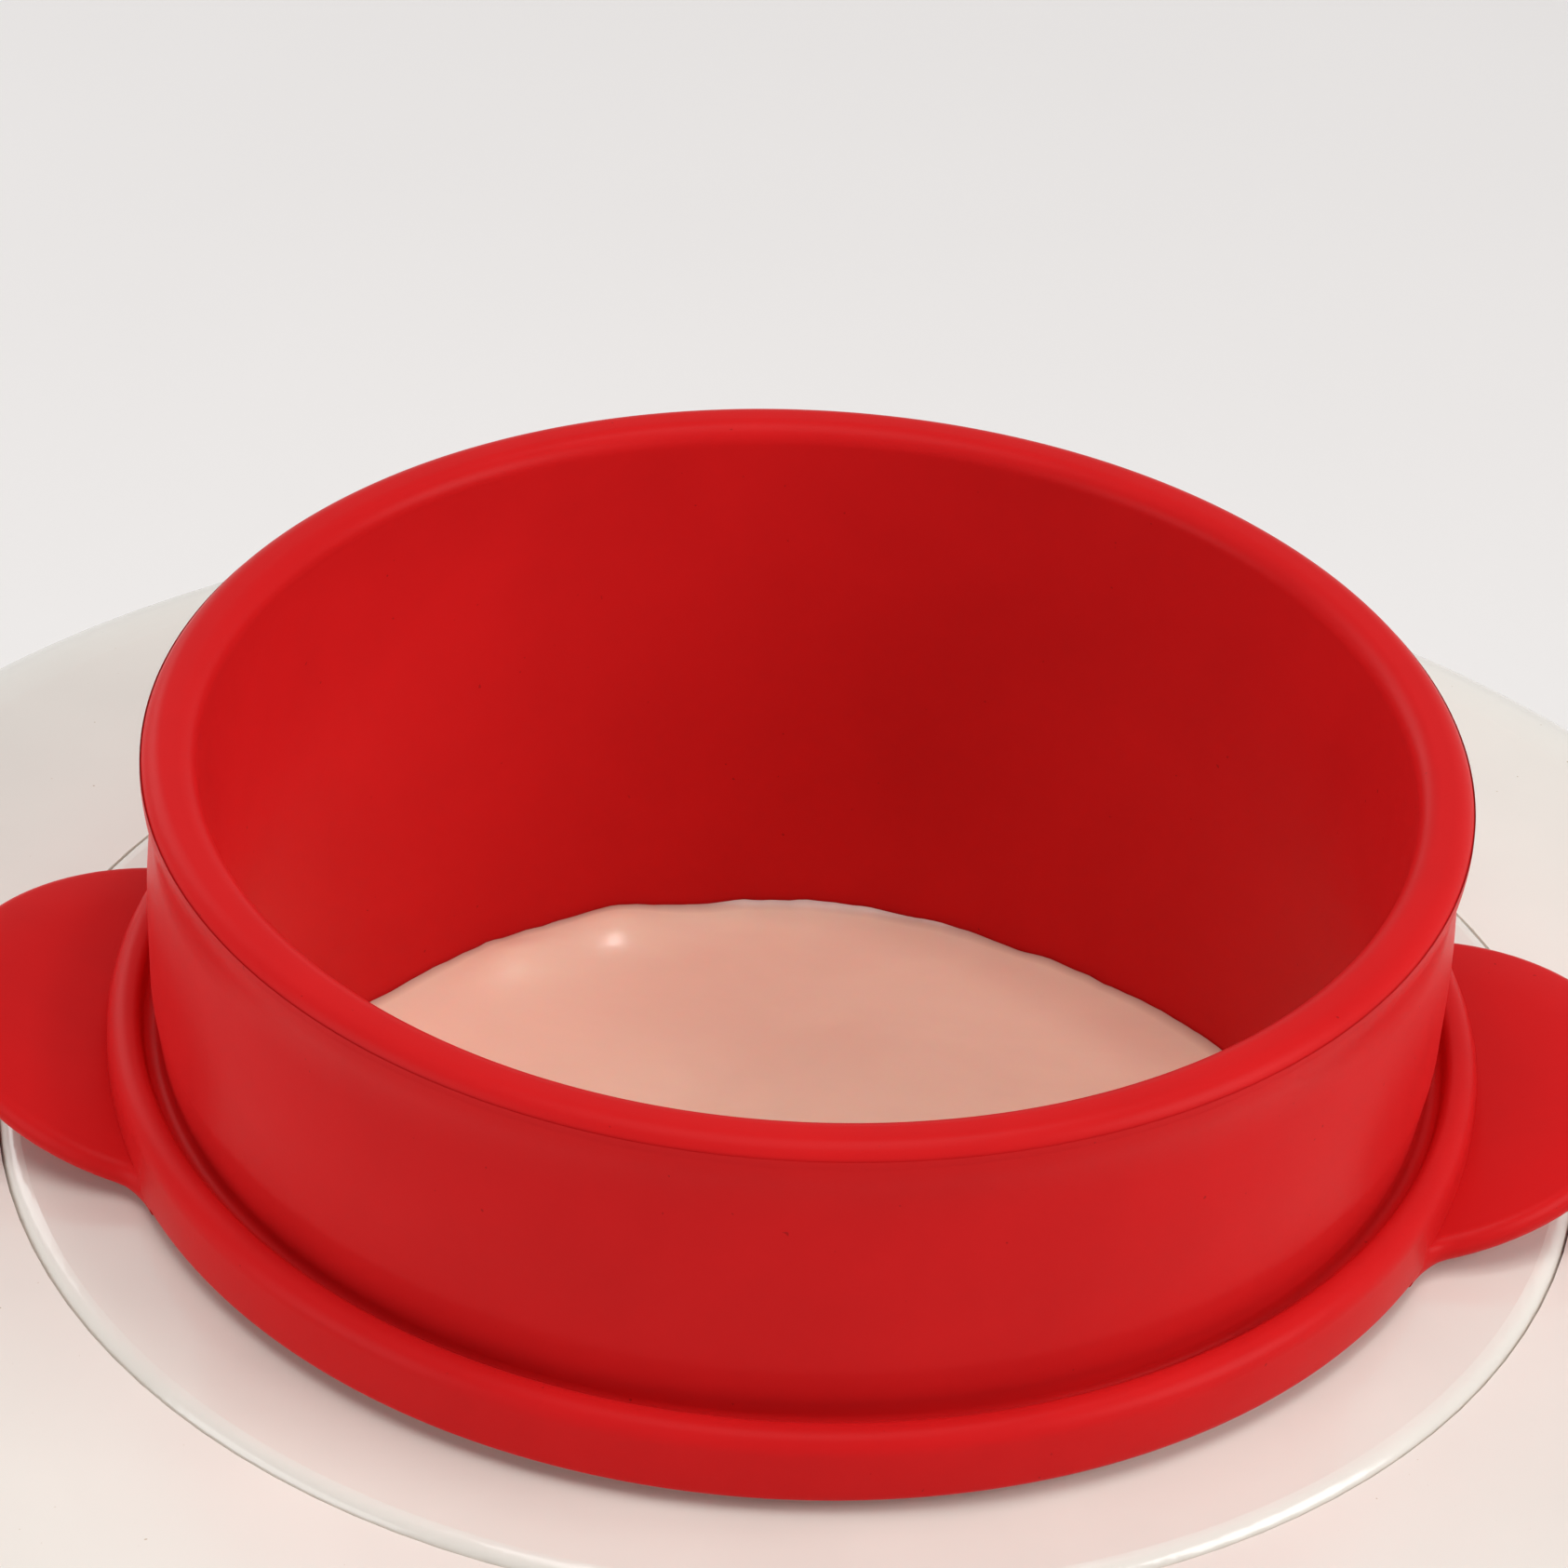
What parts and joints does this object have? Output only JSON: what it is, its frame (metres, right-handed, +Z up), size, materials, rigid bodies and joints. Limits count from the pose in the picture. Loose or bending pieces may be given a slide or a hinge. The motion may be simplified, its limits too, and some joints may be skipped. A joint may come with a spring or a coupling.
{
  "type": "wax warmer with silicone pot",
  "caption": "Round cream countertop wax warmer holding a red silicone lift-out pot with a rolled flange and side ears, part filled with pink wax, with a dial knob, lamp and rear power switch.",
  "frame": {"origin": "on the table under the pot's axis, level with the undersides of the feet", "axes": "+Z up along the pot's axis, +X through the right ear, -Y through the control knob at the front"},
  "size_m": [0.1946, 0.1957, 0.1141],
  "materials": {
    "red_silicone": "satin moulded silicone",
    "pink_wax": "smooth melted depilatory wax",
    "white_plastic": "gloss moulded",
    "cream_plastic": "gloss moulded",
    "grey_plastic": "fine texture moulded",
    "pale_grey_plastic": "satin moulded",
    "red_plastic": "gloss inlay",
    "black_plastic": "satin moulded",
    "rocker_plastic": "gloss moulded",
    "lamp_red": "clear red lens",
    "ceramic_white": "unglazed",
    "aluminium": "spun",
    "heater_steel": "rolled strip",
    "zinc_steel": "zinc plated",
    "brass": "machined",
    "copper": "drawn tube",
    "felt": "needled glass fibre",
    "grey_silicone": "moulded silicone",
    "dark_rubber": "moulded",
    "lead_silicone": "silicone insulated wire"
  },
  "bodies": {
    "warmer": {"collar_ring": "white_plastic", "collar_screws": "zinc_steel", "heating_well": "aluminium", "well_gasket": "grey_silicone", "heater_band": "heater_steel", "band_screw": "zinc_steel", "insulation_wrap": "felt", "upper_shell": "cream_plastic", "base_cover": "grey_plastic", "base_screws": "zinc_steel", "rubber_feet": "dark_rubber", "thermostat_body": "ceramic_white", "bushing_nut": "brass", "dial_plate": "pale_grey_plastic", "lamp_lens": "lamp_red", "lamp_body": "pale_grey_plastic", "sensor_bulb": "copper", "bulb_clip": "zinc_steel", "thermal_fuse": "zinc_steel", "fuse_clip": "zinc_steel", "power_inlet": "black_plastic", "inlet_pins": "brass", "switch_housing": "black_plastic", "switch_blades": "brass", "terminal_block": "ceramic_white", "lead_inlet_block": "lead_silicone", "lead_inlet_switch": "lead_silicone", "lead_switch_fuse": "lead_silicone", "lead_fuse_heater": "lead_silicone", "lead_heater_thermostat": "lead_silicone", "lead_thermostat_block": "lead_silicone"},
    "pot": {"silicone_pot": "red_silicone", "wax_fill": "pink_wax"},
    "knob": {"control_knob": "white_plastic", "knob_pointer": "red_plastic", "thermostat_shaft": "zinc_steel"},
    "rocker": {"power_rocker": "rocker_plastic"}
  },
  "joints": [
    {"name": "pot_lift", "type": "slide", "parent": "warmer", "child": "pot", "axis": [0, 0, 1], "range_m": [0, 0.09]},
    {"name": "knob_turn", "type": "hinge", "parent": "warmer", "child": "knob", "pos_m": [0, -0.0913, 0.038], "axis": [0, 1, 0], "range_deg": [0, 270]},
    {"name": "rocker_tip", "type": "hinge", "parent": "warmer", "child": "rocker", "pos_m": [0.016, 0.0845, 0.0245], "axis": [1, 0, 0], "range_deg": [0, 18]}
  ]
}
